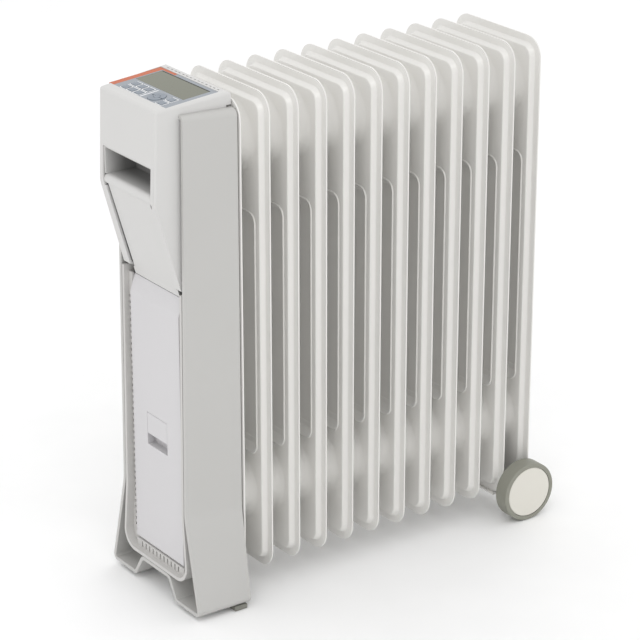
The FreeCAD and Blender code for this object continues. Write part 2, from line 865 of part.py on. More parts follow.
def make_door():
    """Front door: flat panel, top edge rolled back, hinge bead, and the finger recess under its latch."""
    half = door_half_width
    front = -door_front
    back = front + door_roll_back
    outline = [(front, hinge_z), (front, door_roll_start), (back, door_top), (back + door_wall, door_top),
               (front + door_wall, door_roll_start - 1), (front + door_wall, hinge_z)]
    door = prism_y(outline, -half, half, [0, door_roll_radius, 0, 0, door_roll_radius, 0])
    door = door.fuse(rod_y(-hinge_x, hinge_z, -half, half, hinge_bead)).removeSplitter()
    door = door.cut(rod_y(-hinge_x, hinge_z, -half - past, half + past, pin_radius + running_gap))

    tab_half = latch_width / 2 + latch_gap
    low = latch_bottom - recess_height
    high = latch_top + latch_gap
    door = door.cut(block(front - past, front + door_wall + past, -tab_half, tab_half, low, high))
    cup_half = tab_half + recess_wall
    cup = block(front + door_wall - 0.5, front + recess_depth, -cup_half, cup_half, low - recess_wall,
                high + recess_wall)
    cup = cup.cut(block(front - past, front + recess_depth - recess_wall, -tab_half, tab_half, low, high))
    door = door.fuse(cup).removeSplitter()
    pivot_x = front + latch_pivot_depth
    pivot_z = latch_top - latch_barrel
    pin = rod_y(pivot_x, pivot_z, -cup_half, cup_half, latch_pin_radius)
    save(door.cut(pin), "storage_door")
    save(pin, "latch_pin")

    pin_half = door_half_width + frame_gap + lug_length
    save(rod_y(-hinge_x, hinge_z, -pin_half, pin_half, pin_radius), "door_pin")

    tab = block(front, front + latch_plate, -latch_width / 2, latch_width / 2, latch_bottom, pivot_z)
    barrel = rod_y(pivot_x, pivot_z, -latch_width / 2, latch_width / 2, latch_barrel)
    tab = tab.fuse(barrel).removeSplitter()
    tab = tab.cut(rod_y(pivot_x, pivot_z, -latch_width, latch_width, latch_pin_radius + running_gap))
    save(tab, "latch_tab")


def make_gland():
    """Cord bush through the partition, where the supply lead enters the cord compartment."""
    face = -partition
    flange = rod_x(face - gland_flange, face, gland_y, gland_z, gland_radius)
    neck = rod_x(face, face + gland_length, gland_y, gland_z, gland_radius - gland_flange)
    bore = rod_x(face - gland_flange - past, face + gland_length + past, gland_y, gland_z, gland_bore)
    gland = flange.fuse(neck).cut(bore)
    save(gland.removeSplitter(), "cord_gland")


def make_electrics():
    """Power board with its relay, tilt switch and thermal cutout, in the dry space behind the partition."""
    board_face = -partition + body_wall + board_standoff
    relay_face = board_face + board_plate
    board = block(board_face, relay_face, -power_board_half, power_board_half,
                  power_board_low, power_board_high)
    relay = block(relay_face, relay_face + relay_height, relay_y, relay_y + relay_width, relay_z,
                  relay_z + relay_length)
    save(board.fuse(relay).removeSplitter(), "power_board")
    switch = block(board_face, board_face + switch_depth, switch_y, switch_y + switch_width, switch_z,
                   switch_z + switch_height)
    save(switch, "tilt_switch")
    cutout_rear = -body_rear - cutout_clearance
    save(rod_x(cutout_rear - cutout_depth, cutout_rear, 0, cutout_z, cutout_radius), "thermal_cutout")


# ================================================================ wheels

def make_wheels():
    """Two wheels on one axle, in the gap between the last two fins, held under them by a bent bracket."""
    z = wheel_radius
    inner = wheel_inner_face
    outer = inner + wheel_width
    for side_name, side in (("left", 1), ("right", -1)):
        def span(a, b, r):
            return rod_y(wheel_x, z, min(side * a, side * b), max(side * a, side * b), r)

        tyre = span(inner, outer, wheel_radius)
        tyre = tyre.makeFillet(tyre_round, [e for e in tyre.Edges if isinstance(e.Curve, Part.Circle)])
        tyre = tyre.cut(span(inner - past, outer + past, wheel_radius - tyre_wall))
        save(tyre, "wheel_%s_tyre" % side_name)
        rim_radius = wheel_radius - tyre_wall
        rim = span(inner + past, outer - cap_depth - past, rim_radius)
        rim = rim.cut(span(inner, outer - cap_depth - 2 - rim_web, rim_radius - rim_web))
        rim = rim.fuse(span(hub_face, outer - cap_depth - 4, hub_radius))
        rim = rim.cut(span(inner - 2, outer, axle_radius + running_gap))
        save(rim.removeSplitter(), "wheel_%s_rim" % side_name)
        cap = span(outer - cap_depth - past, outer - cap_reveal, cap_radius)
        face_y = side * (outer - cap_reveal)
        rings = [e for e in cap.Edges if isinstance(e.Curve, Part.Circle)]
        cap = cap.makeFillet(cap_round, [e for e in rings if abs(e.CenterOfMass.y - face_y) < tiny])
        cap = cap.cut(span(outer - cap_depth - 2 * past, outer - cap_face, clip_radius + 2 * past))
        save(cap, "wheel_%s_cap" % side_name)

    clip_face = outer - cap_depth - past + end_play
    axle_half = clip_face + clip_thickness + axle_tail
    axle = rod_y(wheel_x, z, -axle_half, axle_half, axle_radius)
    clips = []
    spacers = []
    for side in (-1, 1):
        ear_face = side * bracket_half_width
        hub_stop = side * (hub_face - end_play)
        spacer = rod_y(wheel_x, z, min(ear_face, hub_stop), max(ear_face, hub_stop), spacer_radius)
        spacers.append(spacer.cut(rod_y(wheel_x, z, -hub_face, hub_face, axle_radius)))
        start = min(side * clip_face, side * (clip_face + clip_thickness))
        ring = rod_y(wheel_x, z, start, start + clip_thickness, clip_radius)
        core = rod_y(wheel_x, z, start, start + clip_thickness, axle_radius - clip_groove)
        groove = rod_y(wheel_x, z, start, start + clip_thickness, axle_radius)
        axle = axle.cut(groove.cut(core))
        clips.append(ring.cut(core))
    save(axle, "wheel_axle")
    save(Part.makeCompound(clips), "axle_clips")
    save(Part.makeCompound(spacers), "axle_spacers")


def make_bracket():
    """Bent sheet bracket under the last two fins, with two ears that carry the axle."""
    top = fin_bottom
    low = top - bracket_sheet
    middle = last_fin - half_pitch
    plate = block(middle - bracket_reach, middle + bracket_reach, -bracket_half_width, bracket_half_width,
                  low, top)
    ears = None
    for side in (-1, 1):
        outer = side * bracket_half_width
        inner = side * (bracket_half_width - bracket_sheet)
        ear = block(wheel_x - ear_half_length, wheel_x + ear_half_length, min(outer, inner),
                    max(outer, inner), low, wheel_radius + ear_above_axle)
        ears = ear if ears is None else ears.fuse(ear)
    bracket = plate.fuse(ears)
    bore_half = bracket_half_width + past
    bracket = bracket.cut(rod_y(wheel_x, wheel_radius, -bore_half, bore_half, axle_radius))
    save(bracket.removeSplitter(), "wheel_bracket")


def main():
    os.makedirs("parts", exist_ok=True)
    make_fins()
    make_filler_plug()
    make_element()
    make_band()
    make_foot_pads()
    make_head()
    make_slope_panel()
    make_control_panel()
    make_body()
    make_shield()
    make_door()
    make_gland()
    make_electrics()
    make_wheels()
    make_bracket()


main()
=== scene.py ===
import math

import bmesh
import bpy
from mathutils import Matrix, Vector


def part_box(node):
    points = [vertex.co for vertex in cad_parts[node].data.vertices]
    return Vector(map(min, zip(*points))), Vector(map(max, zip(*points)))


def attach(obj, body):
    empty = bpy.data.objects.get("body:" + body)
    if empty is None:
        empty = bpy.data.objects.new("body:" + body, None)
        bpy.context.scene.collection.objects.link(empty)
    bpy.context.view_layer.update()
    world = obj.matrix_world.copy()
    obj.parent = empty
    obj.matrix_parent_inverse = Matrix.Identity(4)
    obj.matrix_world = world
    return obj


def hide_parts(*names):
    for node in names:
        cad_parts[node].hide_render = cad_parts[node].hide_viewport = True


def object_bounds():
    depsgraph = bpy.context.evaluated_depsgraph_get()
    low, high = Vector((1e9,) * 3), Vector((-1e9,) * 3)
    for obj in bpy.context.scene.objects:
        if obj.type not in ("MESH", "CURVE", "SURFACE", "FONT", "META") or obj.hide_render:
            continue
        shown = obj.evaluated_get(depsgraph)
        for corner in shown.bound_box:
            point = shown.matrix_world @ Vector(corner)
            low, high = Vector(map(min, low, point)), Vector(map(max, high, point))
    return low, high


bl_info = {
    "name": "Oil filled radiator",
    "version": (1, 0, 0),
    "blender": (4, 5, 0),
    "location": "3D View > Sidebar > Radiator",
    "description": "Builds the looks of an oil filled radiator around its CAD frame",
    "category": "Object",
}

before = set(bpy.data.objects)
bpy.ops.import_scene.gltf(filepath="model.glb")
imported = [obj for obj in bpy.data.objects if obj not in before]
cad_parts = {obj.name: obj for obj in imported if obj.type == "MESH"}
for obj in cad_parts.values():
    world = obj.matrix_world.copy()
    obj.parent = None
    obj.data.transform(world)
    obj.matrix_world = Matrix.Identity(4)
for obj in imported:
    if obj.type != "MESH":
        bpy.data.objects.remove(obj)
CAD_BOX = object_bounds()

MM = 0.001
FIN_NAMES = ["fin_%02d" % i for i in range(1, 13)]
# where the grip pocket begins behind its lip, and the height that parts it from the sloped front below;
# faces behind the lip get painted shade, darkening over the next length towards the pocket's back
POCKET_FRONT = -0.2665
POCKET_LOW = 0.485
POCKET_SHADE_DEPTH = 24 * MM
# a face whose normal has at least this share along Y faces sideways; the sideways faces of the slot below
# the grip pocket get painted shade
FACES_SIDEWAYS = 0.8
# the sloping top of the head: its front edge, and its rise over its run
PANEL_EDGE = (-0.267, 0, 0.607)
PANEL_RISE, PANEL_RUN = 8.7, 92.0
PANEL_PLACE = Matrix.Translation(PANEL_EDGE) @ Matrix.Rotation(-math.atan2(PANEL_RISE, PANEL_RUN), 4, "Y")
PANEL_TOP = -0.4 * MM
PRINT_LIFT = 0.03 * MM
PRINT_THICKNESS = 0.06 * MM
# keypad plate, as (u, v) across the sloping top: margins of the printed outlines, their line, the two bars:
# the printed divider, and a black bar that is painted shadow along the display window's sunk rear edge
KEY_MARGIN = 1.4 * MM
CENTRE_MARGIN = 2.0 * MM
PRINT_LINE = 0.9 * MM
DIVIDER = (27.0 * MM, -3.0 * MM, 12.0 * MM, 0.7 * MM)
SHADED_EDGE = (76.3 * MM, 0.0, 0.7 * MM, 48.6 * MM)
# corner radius as a share of the smaller half size
OUTLINE_CORNER = 0.3
BAR_CORNER = 0.5
ROCKER = ("key_up", "key_down", "key_centre")
KEY_NAMES = ["key_%d" % i for i in range(1, 7)] + ["key_set", "key_mode"] + list(ROCKER)
# filled by build_materials, by finish
MATERIALS = {}

# CAD vertices nearer than this are one vertex
WELD_DISTANCE = 2e-6
# triangles that meet at less than this belong to one flat face
FLAT_ANGLE = math.radians(0.4)
# edges sharper than this are rounded
HARD_EDGE = math.radians(30.0)
# faces that meet at less than this are shaded as one, on moulded pieces and on the pressed fins
SMOOTH_ANGLE = math.radians(35.0)
FIN_SMOOTH_ANGLE = math.radians(50.0)


# ---------------------------------------------------------------- mesh helpers

def finished(bm, name, material, body="heater", smooth_angle=SMOOTH_ANGLE):
    """Turns a bmesh into a piece that rides on a body and carries a material."""
    mesh = bpy.data.meshes.new(name)
    bm.to_mesh(mesh)
    bm.free()
    mesh.materials.append(material)
    mesh.shade_smooth()
    mesh.set_sharp_from_angle(angle=smooth_angle)
    piece = bpy.data.objects.new(name, mesh)
    bpy.context.scene.collection.objects.link(piece)
    normals = piece.modifiers.new("Weighted normals", "WEIGHTED_NORMAL")
    normals.keep_sharp = True
    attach(piece, body)
    return piece


def merged_copy(node):
    """A bmesh of a CAD node with its triangles joined into clean flat faces."""
    bm = bmesh.new()
    bm.from_mesh(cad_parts[node].data)
    bmesh.ops.remove_doubles(bm, verts=bm.verts, dist=WELD_DISTANCE)
    bmesh.ops.dissolve_limit(bm, angle_limit=FLAT_ANGLE, verts=bm.verts, edges=bm.edges)
    return bm


def softened(node, name, finish, body, radius, segments=3):
    """The CAD node again with its hard edges rounded, shown in the node's place."""
    bm = merged_copy(node)
    edges = [edge for edge in bm.edges if len(edge.link_faces) == 2 and edge.calc_face_angle() > HARD_EDGE]
    bmesh.ops.bevel(bm, geom=edges, offset=radius, offset_type="OFFSET", segments=segments, profile=0.5,
                    affect="EDGES", clamp_overlap=True, material=-1)
    piece = finished(bm, name, MATERIALS[finish], body)
    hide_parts(node)
    return piece


def rounded_face(bm, half_width, low, high, radius, segments=8):
    """Flat rounded rectangle in the local XY plane, as one face."""
    verts = bmesh.ops.create_grid(bm, x_segments=1, y_segments=1, size=1.0)["verts"]
    bmesh.ops.scale(bm, vec=(half_width, (high - low) / 2, 1), verts=verts)
    bmesh.ops.translate(bm, vec=(0, (high + low) / 2, 0), verts=verts)
    made = bmesh.ops.bevel(bm, geom=verts, offset=radius, offset_type="OFFSET", segments=segments,
                           profile=0.5, affect="VERTICES", clamp_overlap=False, material=-1)
    around = {face for vert in made["verts"] for face in vert.link_faces}
    return max(around, key=lambda face: face.calc_area())


def pressed(bm, face, steps):
    """Presses a face in or out by a row of (inward, along the normal) steps."""
    for thickness, depth in steps:
        bmesh.ops.inset_region(bm, faces=[face], thickness=thickness, depth=depth, use_boundary=True,
                               use_even_offset=True)
    return face


# ---------------------------------------------------------------- shader helpers

# sockets of the Mix node when it mixes colours
MIX_FACTOR, MIX_FIRST, MIX_SECOND, MIX_RESULT = 0, 6, 7, 2
# spark-eroded grain of moulded plastic: noise scale, bump strength, bump height in metres
GRAIN_SCALE = 1400.0
GRAIN_STRENGTH = 0.25
GRAIN_HEIGHT = 0.00002


class Wire:
    """A shader socket that can stand in Python arithmetic."""

    def __init__(self, kit, socket):
        self.kit = kit
        self.socket = socket

    def math(self, operation, other, clamp=False):
        settings = {"operation": operation, "use_clamp": clamp}
        return self.kit.node("ShaderNodeMath", settings, {0: self, 1: other})

    def clamped(self):
        """The value kept between zero and one."""
        return self.math("ADD", 0.0, clamp=True)

    def __add__(self, other):
        return self.math("ADD", other)

    def __sub__(self, other):
        return self.math("SUBTRACT", other)

    def __mul__(self, other):
        return self.math("MULTIPLY", other)


class Finish:
    """A node material under construction."""

    def __init__(self, name):
        self.material = bpy.data.materials.new(name)
        self.material.use_nodes = True
        self.tree = self.material.node_tree
        self.shader = self.tree.nodes["Principled BSDF"]

    def node(self, kind, settings, inputs, output=0):
        made = self.tree.nodes.new(kind)
        for key, value in settings.items():
            setattr(made, key, value)
        for key, value in inputs.items():
            self.feed(made.inputs[key], value)
        return Wire(self, made.outputs[output])

    def feed(self, socket, value):
        if isinstance(value, Wire):
            self.tree.links.new(value.socket, socket)
        else:
            socket.default_value = value

    def place(self):
        """Object coordinates in metres."""
        return self.node("ShaderNodeTexCoord", {}, {}, output="Object")

    def noise(self, scale, detail=3.0, roughness=0.5):
        """Cloudy value around a half."""
        return self.node("ShaderNodeTexNoise", {},
                         {"Vector": self.place(), "Scale": scale, "Detail": detail, "Roughness": roughness})

    def mix(self, factor, first, second):
        made = self.tree.nodes.new("ShaderNodeMix")
        made.data_type = "RGBA"
        self.feed(made.inputs[MIX_FACTOR], factor)
        self.feed(made.inputs[MIX_FIRST], first)
        self.feed(made.inputs[MIX_SECOND], second)
        return Wire(self, made.outputs[MIX_RESULT])

    def set(self, socket, value):
        self.feed(self.shader.inputs[socket], value)

    def bump(self, height, strength, distance):
        self.set("Normal", self.node("ShaderNodeBump", {}, {"Height": height, "Strength": strength,
                                                           "Distance": distance}))


def shade(colour, factor):
    return (colour[0] * factor, colour[1] * factor, colour[2] * factor, 1.0)


def moulded(name, colour, roughness, grain=GRAIN_SCALE, depth=GRAIN_HEIGHT, coat=0.0):
    """Moulded plastic: slow drift in tone, spark-eroded grain, uneven sheen."""
    finish = Finish(name)
    drift = finish.noise(9.0, 2.0)
    finish.set("Base Color", finish.mix(drift, shade(colour, 0.975), shade(colour, 1.02)))
    fine = finish.noise(grain, 2.0)
    finish.set("Roughness", fine * 0.10 + drift * 0.06 + (roughness - 0.08))
    finish.bump(fine, GRAIN_STRENGTH, depth)
    finish.set("IOR", 1.46)
    if coat:
        finish.set("Coat Weight", coat)
        finish.set("Coat Roughness", 0.12)
    return finish.material


def enamel(name, colour):
    """Baked gloss enamel on pressed steel: slight orange peel and a soft clear coat."""
    finish = Finish(name)
    drift = finish.noise(5.0, 2.0)
    finish.set("Base Color", finish.mix(drift, shade(colour, 0.965), shade(colour, 1.02)))
    peel = finish.noise(260.0, 2.0, 0.4)
    finish.set("Roughness", peel * 0.06 + drift * 0.05 + 0.25)
    finish.bump(peel, 0.12, 0.00006)
    finish.set("Coat Weight", 0.35)
    finish.set("Coat Roughness", 0.1)
    return finish.material


def metal(name, colour, roughness):
    """Plated or drawn steel with fine lines and stains."""
    finish = Finish(name)
    lines = finish.noise(900.0, 3.0)
    stain = finish.noise(40.0, 3.0)
    finish.set("Base Color", finish.mix(stain, shade(colour, 0.85), shade(colour, 1.05)))
    finish.set("Metallic", 1.0)
    finish.set("Roughness", lines * 0.15 + (roughness - 0.07))
    finish.bump(lines, 0.15, 0.00002)
    return finish.material


def display_glass(name, colour):
    """Window over a resting display: grey green with a slow fade across it, lighter towards +Y as a painted
    reflection, and a faint cell pattern.
    """
    finish = Finish(name)
    # painted reflection: the window runs from 0.9 to 1.12 of its colour across Y
    reflection_y = finish.node("ShaderNodeSeparateXYZ", {}, {0: finish.place()}, output="Y")
    reflection_share = (reflection_y * 5.0 + 0.5).clamped()
    cloud = finish.noise(18.0, 2.0)
    base = finish.mix(reflection_share, shade(colour, 0.9), shade(colour, 1.12))
    finish.set("Base Color", finish.mix(cloud * 0.25, base, shade(colour, 0.92)))
    cells = finish.noise(2200.0, 1.0)
    finish.set("Roughness", cells * 0.06 + 0.10)
    finish.bump(cells, 0.05, 0.00001)
    finish.set("Coat Weight", 0.25)
    finish.set("Coat Roughness", 0.04)
    return finish.material


def painted_pocket_shade(name, colour, front, depth):
    """Moulded plastic with painted shade: it darkens along X, from the mouth of a deep pocket to its back,
    where shade falls.
    """
    finish = Finish(name)
    along = finish.node("ShaderNodeSeparateXYZ", {}, {0: finish.place()}, output="X")
    pocket_shade_share = ((along - front) * (1.0 / depth)).clamped()
    grain = finish.noise(GRAIN_SCALE, 2.0)
    # painted shade: the base colour falls from 0.95 to 0.4 of the plastic towards the pocket's back
    finish.set("Base Color", finish.mix(pocket_shade_share, shade(colour, 0.95), shade(colour, 0.4)))
    finish.set("Roughness", grain * 0.1 + 0.4)
    finish.bump(grain, GRAIN_STRENGTH, GRAIN_HEIGHT)
    return finish.material


def build_materials(looks):
    """Every finish of the heater, by name."""
    MATERIALS.update({
        "enamel": enamel("fin enamel", looks.fin_colour),
        "bracket": enamel("bracket enamel", looks.fin_colour),
        "cover": moulded("side cover plastic", looks.cover_colour, 0.42),
        "head": moulded("head plastic", looks.head_colour, 0.42),
        # the grip pocket's plastic, with painted shade towards its back
        "pocket": painted_pocket_shade("grip pocket painted shade", looks.head_colour, POCKET_FRONT, POCKET_SHADE_DEPTH),
        "body": moulded("body plastic", looks.body_colour, 0.45),
        "door": moulded("door plastic", looks.door_colour, 0.45),
        "bezel": moulded("keypad plastic", looks.keypad_colour, 0.34, coat=0.2),
        "keys": moulded("key plastic", looks.key_colour, 0.38),
        "accent": moulded("accent plastic", looks.accent_colour, 0.36, coat=0.08),
        "print": moulded("white print", (0.90, 0.90, 0.90), 0.5),
        "lens": display_glass("display window", looks.display_colour),
        "tyre": moulded("wheel tread plastic", looks.tyre_colour, 0.55, grain=900.0, depth=0.00004),
        "rim": moulded("wheel rim plastic", looks.rim_colour, 0.5),
        "cap": moulded("hub cap plastic", looks.cap_colour, 0.38),
        "pad": moulded("foot pad rubber", looks.pad_colour, 0.7, grain=700.0, depth=0.00006),
        "rubber": moulded("black rubber", (0.03, 0.03, 0.03), 0.7, grain=700.0, depth=0.00006),
        "dark": moulded("black plastic", (0.03, 0.03, 0.032), 0.5),
        "board": moulded("circuit board", (0.02, 0.12, 0.05), 0.4),
        "steel": metal("plated steel", (0.62, 0.62, 0.61), 0.35),
    })


def paint_nodes(names, material):
    """Gives CAD nodes that stay in view their finish."""
    for name in names:
        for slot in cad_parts[name].material_slots:
            slot.material = MATERIALS[material]


# ---------------------------------------------------------------- sizes

def metres(name, description, default, low=0.0):
    return bpy.props.FloatProperty(name=name, description=description, default=default, min=low,
                                   unit="LENGTH", subtype="DISTANCE", precision=5)


def colour(name, description, default):
    return bpy.props.FloatVectorProperty(name=name, description=description, default=default, size=3,
                                         min=0.0, max=1.0, subtype="COLOR")


class RadiatorFinSizes(bpy.types.PropertyGroup):
    """Sizes of one pressed fin."""

    flange: metres("Flange", "Flat rim outside the pressed channel", 8.0 * MM)
    channel: metres("Channel depth", "Height of the pressed channel above the rim", 6.2 * MM)
    sheet: metres("Sheet", "Thickness of one sheet", 0.8 * MM)
    top_corner: metres("Corner", "Radius of the fin's corners", 24.0 * MM)
    window_half: metres("Window half width", "Half the width of the sunk window", 61.0 * MM)
    window_low: metres("Window bottom", "Height of the window's lower edge above the floor", 170.0 * MM)
    window_high: metres("Window top", "Height of the window's upper edge above the floor", 467.0 * MM)
    window_corner: metres("Window corner", "Radius of the window's corners", 13.0 * MM)
    window_ramp: metres("Window ramp", "Extra length of the slope along the window's lower edge", 9.0 * MM)
    boss_half: metres("Boss half width", "Half the width of a boss where it leaves the channel", 62.0 * MM)
    boss_tall: metres("Boss half height", "Half the height of a boss where it leaves the channel", 44.0 * MM)
    boss_high: metres("Upper boss", "Height of the upper boss above the floor", 549.0 * MM)
    boss_low: metres("Lower boss", "Height of the lower boss above the floor", 121.0 * MM)


class RadiatorLooks(bpy.types.PropertyGroup):
    """Colours of the finishes, and the radius of the moulded edges."""

    fin_colour: colour("Fins", "Baked enamel of the fins", (0.76, 0.75, 0.725))
    cover_colour: colour("Side covers", "Plastic of the band and feet", (0.49, 0.485, 0.47))
    head_colour: colour("Head", "Plastic of the head", (0.60, 0.595, 0.585))
    body_colour: colour("Body", "Plastic of the inner body", (0.54, 0.53, 0.515))
    door_colour: colour("Door", "Plastic of the front door", (0.59, 0.58, 0.59))
    keypad_colour: colour("Keypad", "Plate around the keys", (0.25, 0.275, 0.31))
    key_colour: colour("Keys", "Key caps", (0.22, 0.25, 0.29))
    accent_colour: colour("Accent", "Coloured strip", (0.50, 0.085, 0.006))
    display_colour: colour("Display", "Resting display", (0.095, 0.10, 0.055))
    tyre_colour: colour("Tread", "Wheel tread", (0.26, 0.26, 0.22))
    rim_colour: colour("Rim", "Wheel rim", (0.34, 0.34, 0.30))
    cap_colour: colour("Hub cap", "Wheel hub cap", (0.70, 0.68, 0.62))
    pad_colour: colour("Foot pad", "Foot pads", (0.20, 0.20, 0.175))
    edge: metres("Edge", "Radius of the moulded edges", 1.0 * MM)


# ---------------------------------------------------------------- operators

# lays a fin drawn flat, width along X and height along Y, upright across the row
ALONG_ROW = Matrix(((0, 0, 1, 0), (1, 0, 0, 0), (0, 1, 0, 0), (0, 0, 0, 1)))
# profiles as (inward, outward) steps in mm, drawn for a channel of CHANNEL_DRAWN mm
CHANNEL_DRAWN = 6.2
SHOULDER = ((0.6, 0.2), (0.8, 1.0), (0.8, 1.9), (0.8, 1.9), (0.8, 1.0), (0.7, 0.2), (1.5, 0.0))
WINDOW_EDGE = ((0.6, 0.9), (0.6, 0.3), (0.6, -0.3), (0.4, -1.2), (0.5, -2.5), (0.6, -1.9), (0.8, -0.6),
               (4.0, 0.0), (0.8, -0.5), (0.9, -0.3))
# how far above the window's lower edge its slope may reach, and the depth that counts as sunk
WINDOW_RAMP_REACH = 40.0 * MM
LEVEL_TOLERANCE = 0.01 * MM
BOSS_CORNER_SEGMENTS = 14
BOSS_EDGE = ((3.0, 0.3), (3.5, 1.3), (3.5, 2.6), (2.8, 3.2), (1.8, 2.9), (1.0, 1.5), (0.4, 0.25))


def half_fin(bm, sizes, low, high, with_bosses):
    """One pressed sheet, its middle plane at zero and its channel towards +Z of the local axes."""
    half_width = (high.y - low.y) / 2
    face = rounded_face(bm, half_width, low.z, high.z, sizes.top_corner)
    bmesh.ops.translate(bm, vec=(0, 0, sizes.sheet), verts=face.verts)
    scale = sizes.channel / (CHANNEL_DRAWN * MM)
    pressed(bm, face, [(sizes.flange, 0.0)] + [(t * MM, d * MM * scale) for t, d in SHOULDER])
    bmesh.ops.delete(bm, geom=[face], context="FACES_ONLY")
    level = sizes.sheet + sizes.channel
    window = rounded_face(bm, sizes.window_half, sizes.window_low, sizes.window_high, sizes.window_corner)
    bmesh.ops.translate(bm, vec=(0, 0, level), verts=window.verts)
    pressed(bm, window, [(t * MM, d * MM * scale) for t, d in WINDOW_EDGE])
    ramp_low = sizes.window_low - MM
    ramp_high = sizes.window_low + WINDOW_RAMP_REACH
    for vert in bm.verts:
        inside = abs(vert.co.x) < sizes.window_half and ramp_low < vert.co.y < ramp_high
        if inside and vert.co.z < level - LEVEL_TOLERANCE:
            vert.co.y += sizes.window_ramp * (level - vert.co.z) / sizes.channel
    for height in (sizes.boss_high, sizes.boss_low) if with_bosses else ():
        boss = rounded_face(bm, sizes.boss_half, height - sizes.boss_tall, height + sizes.boss_tall,
                            sizes.boss_tall - MM, segments=BOSS_CORNER_SEGMENTS)
        bmesh.ops.translate(bm, vec=(0, 0, level), verts=boss.verts)
        pressed(bm, boss, [(t * MM, d * MM) for t, d in BOSS_EDGE])
    lowest = level - LEVEL_TOLERANCE
    loops = [e for e in bm.edges if e.is_boundary and min(v.co.z for v in e.verts) > lowest]
    bmesh.ops.triangle_fill(bm, use_beauty=True, use_dissolve=False, edges=loops, normal=(0, 0, 1))


class RADIATOR_OT_fins(bpy.types.Operator):
    """Pressed oil fins with rolled flanges, sunk windows and welded bosses"""

    bl_idname = "radiator.fins"
    bl_label = "Oil fins"

    def execute(self, context):
        sizes = context.scene.radiator_fins
        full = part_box("fin_02")
        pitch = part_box("fin_03")[0].x - full[0].x
        second = (full[0].x + full[1].x) / 2
        for index, name in enumerate(FIN_NAMES):
            low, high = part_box(name)
            centre = second + (index - 1) * pitch
            bm = bmesh.new()
            for side, bosses in ((1, index < len(FIN_NAMES) - 1), (-1, index > 0)):
                part = bmesh.new()
                half_fin(part, sizes, low, high, bosses)
                if side < 0:
                    bmesh.ops.scale(part, vec=(1, 1, -1), verts=part.verts)
                    bmesh.ops.reverse_faces(part, faces=part.faces)
                mesh = bpy.data.meshes.new("half")
                part.to_mesh(mesh)
                part.free()
                bm.from_mesh(mesh)
                bpy.data.meshes.remove(mesh)
            rims = [e for e in bm.edges if e.is_boundary]
            bmesh.ops.bridge_loops(bm, edges=rims)
            bmesh.ops.recalc_face_normals(bm, faces=bm.faces)
            bmesh.ops.transform(bm, matrix=Matrix.Translation((centre, 0, 0)) @ ALONG_ROW, verts=bm.verts)
            piece = finished(bm, "oil_" + name, MATERIALS["enamel"], smooth_angle=FIN_SMOOTH_ANGLE)
            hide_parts(name)
        paint_nodes(["filler_plug"], "enamel")
        return {"FINISHED"}


class RADIATOR_OT_housing(bpy.types.Operator):
    """Housing: band with feet, head, sloped panel and inner body with moulded edges"""

    bl_idname = "radiator.housing"
    bl_label = "Housing"

    def execute(self, context):
        edge = context.scene.radiator_looks.edge
        softened("outer_band", "cover_band", "cover", "heater", edge * 1.3)
        softened("head_shell", "head_cover", "head", "heater", edge * 0.35, segments=2)
        front = softened("slope_panel", "sloped_front", "head", "heater", edge * 0.5, segments=2)
        # faces inside the grip pocket and the sideways faces of the slot below it get the second material,
        # painted shade that darkens towards the back
        front.data.materials.append(MATERIALS["pocket"])
        for polygon in front.data.polygons:
            in_shaded_pocket = polygon.center.x > POCKET_FRONT and polygon.center.z > POCKET_LOW
            shaded_slot_side = abs(polygon.normal.y) > FACES_SIDEWAYS and polygon.center.z < POCKET_LOW
            if in_shaded_pocket or shaded_slot_side:
                polygon.material_index = 1
        softened("body_shell", "inner_body", "body", "heater", edge * 0.5, segments=2)
        softened("foot_pads", "floor_pads", "pad", "heater", edge * 0.6)
        paint_nodes(["heat_shield", "housing_screws", "mounting_studs", "mounting_nuts"], "steel")
        return {"FINISHED"}


class RADIATOR_OT_door(bpy.types.Operator):
    """Front door of the cord compartment with its latch and pins"""

    bl_idname = "radiator.door"
    bl_label = "Cord compartment door"

    def execute(self, context):
        edge = context.scene.radiator_looks.edge
        softened("storage_door", "front_door", "door", "door", edge * 0.6)
        softened("latch_tab", "door_latch", "door", "latch", edge * 0.5)
        paint_nodes(["door_pin", "latch_pin"], "steel")
        paint_nodes(["cord_gland"], "rubber")
        return {"FINISHED"}


def printed(name, finish, outlines, bars, line):
    """Thin print on the keypad, and also painted shadow bars: open outlines and solid bars, each (u, v, half
    u, half v).
    """
    bm = bmesh.new()
    for u, v, half_u, half_v in outlines:
        corner = min(half_u, half_v) * OUTLINE_CORNER
        face = rounded_face(bm, half_u, v - half_v, v + half_v, corner, segments=4)
        bmesh.ops.translate(bm, vec=(u, 0, 0), verts=face.verts)
        pressed(bm, face, [(line, 0.0)])
        bmesh.ops.delete(bm, geom=[face], context="FACES_ONLY")
    for u, v, half_u, half_v in bars:
        corner = min(half_u, half_v) * BAR_CORNER
        face = rounded_face(bm, half_u, v - half_v, v + half_v, corner, segments=2)
        bmesh.ops.translate(bm, vec=(u, 0, 0), verts=face.verts)
    bmesh.ops.solidify(bm, geom=bm.faces, thickness=PRINT_THICKNESS)
    bmesh.ops.recalc_face_normals(bm, faces=bm.faces)
    lift = Matrix.Translation((0, 0, PANEL_TOP + PRINT_LIFT))
    bmesh.ops.transform(bm, matrix=PANEL_PLACE @ lift, verts=bm.verts)
    return finished(bm, name, MATERIALS[finish])


def key_outline(name, margin):
    """Where a key stands on the panel, as (u, v, half u, half v) grown by a margin."""
    back = PANEL_PLACE.inverted()
    corners = [back @ vert.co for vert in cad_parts[name].data.vertices]
    low_u, high_u = min(c.x for c in corners), max(c.x for c in corners)
    low_v, high_v = min(c.y for c in corners), max(c.y for c in corners)
    return ((low_u + high_u) / 2, (low_v + high_v) / 2,
            (high_u - low_u) / 2 + margin, (high_v - low_v) / 2 + margin)


